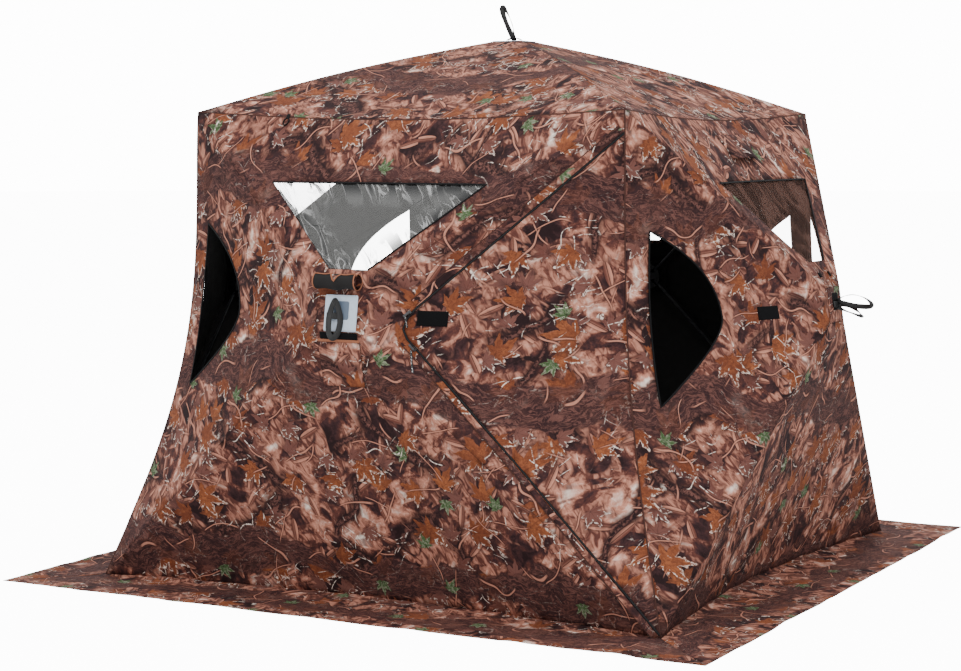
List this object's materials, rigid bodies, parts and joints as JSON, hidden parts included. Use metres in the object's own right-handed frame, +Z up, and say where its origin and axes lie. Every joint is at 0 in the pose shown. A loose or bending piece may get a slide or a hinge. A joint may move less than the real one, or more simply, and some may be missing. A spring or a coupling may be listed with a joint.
{
  "type": "pop up ground blind",
  "caption": "Square hub-style pop-up ground blind in woodland-print cloth: peaked roof, bulging walls, windows, triangular zip door and ground skirt.",
  "frame": {"origin": "on the ground, under the centre of the square shelter", "axes": "+Z up; the front wall, with the zip door, faces -Y; the wall with the roof vent hood faces +X"},
  "size_m": [2.9542, 2.842, 2.1763],
  "materials": {
    "camo_cloth": "matte printed weave, reddish-brown woodland print, black coating inside",
    "skirt_cloth": "matte printed weave",
    "webbing": "tight black webbing with a slight sheen",
    "patch_vinyl": "light grey reinforced vinyl",
    "rod_fibreglass": "dark fibreglass rod",
    "hub_plastic": "black moulded nylon",
    "window_film": "clear flexible window film, wrinkled",
    "window_mesh": "see-through printed mesh",
    "zip_metal": "black coated zip slider"
  },
  "bodies": {
    "shelter": {"wall_front": "camo_cloth", "wall_right": "camo_cloth", "wall_back": "camo_cloth", "wall_left": "camo_cloth", "window_film_front": "window_film", "window_mesh_right": "window_mesh", "window_mesh_back": "window_mesh", "window_mesh_left": "window_mesh", "roof": "camo_cloth", "skirt": "skirt_cloth", "vent_hood": "camo_cloth", "pocket_front": "camo_cloth", "corner_pocket_upper_front_left": "webbing", "corner_pocket_lower_front_left": "webbing", "corner_pocket_upper_front_right": "webbing", "corner_pocket_lower_front_right": "webbing", "corner_pocket_upper_back_right": "webbing", "corner_pocket_lower_back_right": "webbing", "corner_pocket_upper_back_left": "webbing", "corner_pocket_lower_back_left": "webbing"},
    "hub_front": {"hub_front": "hub_plastic", "hub_patch_front": "patch_vinyl", "window_cover_roll": "camo_cloth"},
    "rod_front_upper_left": {"rod_front_upper_left": "rod_fibreglass"},
    "rod_front_upper_right": {"rod_front_upper_right": "rod_fibreglass"},
    "rod_front_lower_right": {"rod_front_lower_right": "rod_fibreglass"},
    "rod_front_lower_left": {"rod_front_lower_left": "rod_fibreglass"},
    "pull_strap_front": {"pull_strap_front": "webbing"},
    "hub_right": {"hub_right": "hub_plastic", "hub_patch_right": "patch_vinyl"},
    "rod_right_upper_left": {"rod_right_upper_left": "rod_fibreglass"},
    "rod_right_upper_right": {"rod_right_upper_right": "rod_fibreglass"},
    "rod_right_lower_right": {"rod_right_lower_right": "rod_fibreglass"},
    "rod_right_lower_left": {"rod_right_lower_left": "rod_fibreglass"},
    "pull_strap_right": {"pull_strap_right": "webbing"},
    "hub_back": {"hub_back": "hub_plastic", "hub_patch_back": "patch_vinyl"},
    "rod_back_upper_left": {"rod_back_upper_left": "rod_fibreglass"},
    "rod_back_upper_right": {"rod_back_upper_right": "rod_fibreglass"},
    "rod_back_lower_right": {"rod_back_lower_right": "rod_fibreglass"},
    "rod_back_lower_left": {"rod_back_lower_left": "rod_fibreglass"},
    "pull_strap_back": {"pull_strap_back": "webbing"},
    "hub_left": {"hub_left": "hub_plastic", "hub_patch_left": "patch_vinyl"},
    "rod_left_upper_left": {"rod_left_upper_left": "rod_fibreglass"},
    "rod_left_upper_right": {"rod_left_upper_right": "rod_fibreglass"},
    "rod_left_lower_right": {"rod_left_lower_right": "rod_fibreglass"},
    "rod_left_lower_left": {"rod_left_lower_left": "rod_fibreglass"},
    "pull_strap_left": {"pull_strap_left": "webbing"},
    "hub_roof": {"hub_roof": "hub_plastic", "hub_patch_roof": "patch_vinyl"},
    "rod_roof_front_left": {"rod_roof_front_left": "rod_fibreglass"},
    "rod_roof_front_right": {"rod_roof_front_right": "rod_fibreglass"},
    "rod_roof_back_right": {"rod_roof_back_right": "rod_fibreglass"},
    "rod_roof_back_left": {"rod_roof_back_left": "rod_fibreglass"},
    "pull_strap_roof": {"pull_strap_roof": "webbing"},
    "door_edge": {"door_hem": "camo_cloth"},
    "door": {"door": "camo_cloth"},
    "zip_slider_upper": {"zip_slider_upper": "zip_metal"},
    "zip_slider_lower": {"zip_slider_lower": "zip_metal"}
  },
  "joints": [
    {"name": "pop_front", "type": "slide", "parent": "shelter", "child": "hub_front", "axis": [0, 0.9889, -0.1488], "range_m": [0, 0.6766], "deforming": ["wall_front", "window_film_front", "pocket_front", "corner_pocket_upper_front_left", "corner_pocket_lower_front_left"]},
    {"name": "rod_front_upper_left_pin", "type": "hinge", "parent": "hub_front", "child": "rod_front_upper_left", "pos_m": [-0.03173, -1.30715, 1.06994], "axis": [0.6551, 0.1124, 0.7471], "range_deg": [0, 34.27]},
    {"name": "rod_front_upper_right_pin", "type": "hinge", "parent": "hub_front", "child": "rod_front_upper_right", "pos_m": [0.03173, -1.30715, 1.06994], "axis": [0.6551, -0.1124, -0.7471], "range_deg": [0, 34.27]},
    {"name": "rod_front_lower_right_pin", "type": "hinge", "parent": "hub_front", "child": "rod_front_lower_right", "pos_m": [0.03168, -1.31535, 1.01546], "axis": [-0.6564, -0.1122, -0.746], "range_deg": [0, 26.3]},
    {"name": "rod_front_lower_left_pin", "type": "hinge", "parent": "hub_front", "child": "rod_front_lower_left", "pos_m": [-0.03168, -1.31535, 1.01546], "axis": [-0.6564, 0.1122, 0.746], "range_deg": [0, 26.3]},
    {"name": "pull_strap_front_swing", "type": "hinge", "parent": "hub_front", "child": "pull_strap_front", "pos_m": [0, -1.34516, 1.04783], "axis": [-1, 0, 0], "range_deg": [0, 150]},
    {"name": "pop_right", "type": "slide", "parent": "shelter", "child": "hub_right", "axis": [-0.9889, 0, -0.1488], "range_m": [0, 0.6766], "deforming": ["wall_right", "window_mesh_right", "vent_hood", "corner_pocket_upper_front_right", "corner_pocket_lower_front_right"]},
    {"name": "rod_right_upper_left_pin", "type": "hinge", "parent": "hub_right", "child": "rod_right_upper_left", "pos_m": [1.30715, -0.03173, 1.06994], "axis": [-0.1124, 0.6551, 0.7471], "range_deg": [0, 34.27]},
    {"name": "rod_right_upper_right_pin", "type": "hinge", "parent": "hub_right", "child": "rod_right_upper_right", "pos_m": [1.30715, 0.03173, 1.06994], "axis": [0.1124, 0.6551, -0.7471], "range_deg": [0, 34.27]},
    {"name": "rod_right_lower_right_pin", "type": "hinge", "parent": "hub_right", "child": "rod_right_lower_right", "pos_m": [1.31535, 0.03168, 1.01546], "axis": [0.1122, -0.6564, -0.746], "range_deg": [0, 26.3]},
    {"name": "rod_right_lower_left_pin", "type": "hinge", "parent": "hub_right", "child": "rod_right_lower_left", "pos_m": [1.31535, -0.03168, 1.01546], "axis": [-0.1122, -0.6564, 0.746], "range_deg": [0, 26.3]},
    {"name": "pull_strap_right_swing", "type": "hinge", "parent": "hub_right", "child": "pull_strap_right", "pos_m": [1.34516, 0, 1.04783], "axis": [0, -1, 0], "range_deg": [-70, 80]},
    {"name": "pop_back", "type": "slide", "parent": "shelter", "child": "hub_back", "axis": [0, -0.9889, -0.1488], "range_m": [0, 0.6766], "deforming": ["wall_back", "window_mesh_back", "corner_pocket_upper_back_right", "corner_pocket_lower_back_right"]},
    {"name": "rod_back_upper_left_pin", "type": "hinge", "parent": "hub_back", "child": "rod_back_upper_left", "pos_m": [0.03173, 1.30715, 1.06994], "axis": [-0.6551, -0.1124, 0.7471], "range_deg": [0, 34.27]},
    {"name": "rod_back_upper_right_pin", "type": "hinge", "parent": "hub_back", "child": "rod_back_upper_right", "pos_m": [-0.03173, 1.30715, 1.06994], "axis": [-0.6551, 0.1124, -0.7471], "range_deg": [0, 34.27]},
    {"name": "rod_back_lower_right_pin", "type": "hinge", "parent": "hub_back", "child": "rod_back_lower_right", "pos_m": [-0.03168, 1.31535, 1.01546], "axis": [0.6564, 0.1122, -0.746], "range_deg": [0, 26.3]},
    {"name": "rod_back_lower_left_pin", "type": "hinge", "parent": "hub_back", "child": "rod_back_lower_left", "pos_m": [0.03168, 1.31535, 1.01546], "axis": [0.6564, -0.1122, 0.746], "range_deg": [0, 26.3]},
    {"name": "pull_strap_back_swing", "type": "hinge", "parent": "hub_back", "child": "pull_strap_back", "pos_m": [0, 1.34516, 1.04783], "axis": [1, 0, 0], "range_deg": [0, 150]},
    {"name": "pop_left", "type": "slide", "parent": "shelter", "child": "hub_left", "axis": [0.9889, 0, -0.1488], "range_m": [0, 0.6766], "deforming": ["wall_left", "window_mesh_left", "corner_pocket_upper_back_left", "corner_pocket_lower_back_left"]},
    {"name": "rod_left_upper_left_pin", "type": "hinge", "parent": "hub_left", "child": "rod_left_upper_left", "pos_m": [-1.30715, 0.03173, 1.06994], "axis": [0.1124, -0.6551, 0.7471], "range_deg": [0, 34.27]},
    {"name": "rod_left_upper_right_pin", "type": "hinge", "parent": "hub_left", "child": "rod_left_upper_right", "pos_m": [-1.30715, -0.03173, 1.06994], "axis": [-0.1124, -0.6551, -0.7471], "range_deg": [0, 34.27]},
    {"name": "rod_left_lower_right_pin", "type": "hinge", "parent": "hub_left", "child": "rod_left_lower_right", "pos_m": [-1.31535, -0.03168, 1.01546], "axis": [-0.1122, 0.6564, -0.746], "range_deg": [0, 26.3]},
    {"name": "rod_left_lower_left_pin", "type": "hinge", "parent": "hub_left", "child": "rod_left_lower_left", "pos_m": [-1.31535, 0.03168, 1.01546], "axis": [0.1122, 0.6564, 0.746], "range_deg": [0, 26.3]},
    {"name": "pull_strap_left_swing", "type": "hinge", "parent": "hub_left", "child": "pull_strap_left", "pos_m": [-1.34516, 0, 1.04783], "axis": [0, 1, 0], "range_deg": [-70, 80]},
    {"name": "pop_roof", "type": "slide", "parent": "shelter", "child": "hub_roof", "axis": [0, 0, -1], "range_m": [0, 0.558], "deforming": ["roof"]},
    {"name": "rod_roof_front_left_pin", "type": "hinge", "parent": "hub_roof", "child": "rod_roof_front_left", "pos_m": [-0.0297, -0.0297, 2.01], "axis": [-0.7071, 0.7071, 0], "range_deg": [0, 26.72]},
    {"name": "rod_roof_front_right_pin", "type": "hinge", "parent": "hub_roof", "child": "rod_roof_front_right", "pos_m": [0.0297, -0.0297, 2.01], "axis": [-0.7071, -0.7071, 0], "range_deg": [0, 26.72]},
    {"name": "rod_roof_back_right_pin", "type": "hinge", "parent": "hub_roof", "child": "rod_roof_back_right", "pos_m": [0.0297, 0.0297, 2.01], "axis": [0.7071, -0.7071, 0], "range_deg": [0, 26.72]},
    {"name": "rod_roof_back_left_pin", "type": "hinge", "parent": "hub_roof", "child": "rod_roof_back_left", "pos_m": [-0.0297, 0.0297, 2.01], "axis": [0.7071, 0.7071, 0], "range_deg": [0, 26.72]},
    {"name": "pull_strap_roof_swing", "type": "hinge", "parent": "hub_roof", "child": "pull_strap_roof", "pos_m": [0, 0, 2.0443], "axis": [-1, 0, 0], "range_deg": [-80, 80]},
    {"name": "door_fold", "type": "hinge", "parent": "shelter", "child": "door_edge", "pos_m": [1.0045, -1.019, 0.8345], "axis": [0.1542, -0.1548, -0.9758], "range_deg": [0, 37.1]},
    {"name": "door_swing", "type": "hinge", "parent": "door_edge", "child": "door", "pos_m": [1.0045, -1.019, 0.8345], "axis": [-0.1542, 0.1548, 0.9758], "range_deg": [0, 115]},
    {"name": "zip_slider_upper_run", "type": "slide", "parent": "door", "child": "zip_slider_upper", "axis": [0.6643, 0.3808, 0.6432], "range_m": [0, 0.85]},
    {"name": "zip_slider_lower_run", "type": "slide", "parent": "door", "child": "zip_slider_lower", "axis": [0.6755, 0.0882, -0.732], "range_m": [0, 1.186]}
  ],
  "couplings": [
    {"joint": "rod_front_upper_left_pin", "follows": "pop_front", "rad_per_m": 0.88276},
    {"joint": "rod_front_upper_right_pin", "follows": "pop_front", "rad_per_m": 0.88276},
    {"joint": "rod_front_lower_right_pin", "follows": "pop_front", "rad_per_m": 0.67725},
    {"joint": "rod_front_lower_left_pin", "follows": "pop_front", "rad_per_m": 0.67725},
    {"joint": "rod_right_upper_left_pin", "follows": "pop_right", "rad_per_m": 0.88276},
    {"joint": "rod_right_upper_right_pin", "follows": "pop_right", "rad_per_m": 0.88276},
    {"joint": "rod_right_lower_right_pin", "follows": "pop_right", "rad_per_m": 0.67725},
    {"joint": "rod_right_lower_left_pin", "follows": "pop_right", "rad_per_m": 0.67725},
    {"joint": "rod_back_upper_left_pin", "follows": "pop_back", "rad_per_m": 0.88276},
    {"joint": "rod_back_upper_right_pin", "follows": "pop_back", "rad_per_m": 0.88276},
    {"joint": "rod_back_lower_right_pin", "follows": "pop_back", "rad_per_m": 0.67725},
    {"joint": "rod_back_lower_left_pin", "follows": "pop_back", "rad_per_m": 0.67725},
    {"joint": "rod_left_upper_left_pin", "follows": "pop_left", "rad_per_m": 0.88276},
    {"joint": "rod_left_upper_right_pin", "follows": "pop_left", "rad_per_m": 0.88276},
    {"joint": "rod_left_lower_right_pin", "follows": "pop_left", "rad_per_m": 0.67725},
    {"joint": "rod_left_lower_left_pin", "follows": "pop_left", "rad_per_m": 0.67725},
    {"joint": "rod_roof_front_left_pin", "follows": "pop_roof", "rad_per_m": 0.83418},
    {"joint": "rod_roof_front_right_pin", "follows": "pop_roof", "rad_per_m": 0.83418},
    {"joint": "rod_roof_back_right_pin", "follows": "pop_roof", "rad_per_m": 0.83418},
    {"joint": "rod_roof_back_left_pin", "follows": "pop_roof", "rad_per_m": 0.83418},
    {"joint": "door_fold", "follows": "pop_front", "rad_per_m": 0.95444}
  ]
}
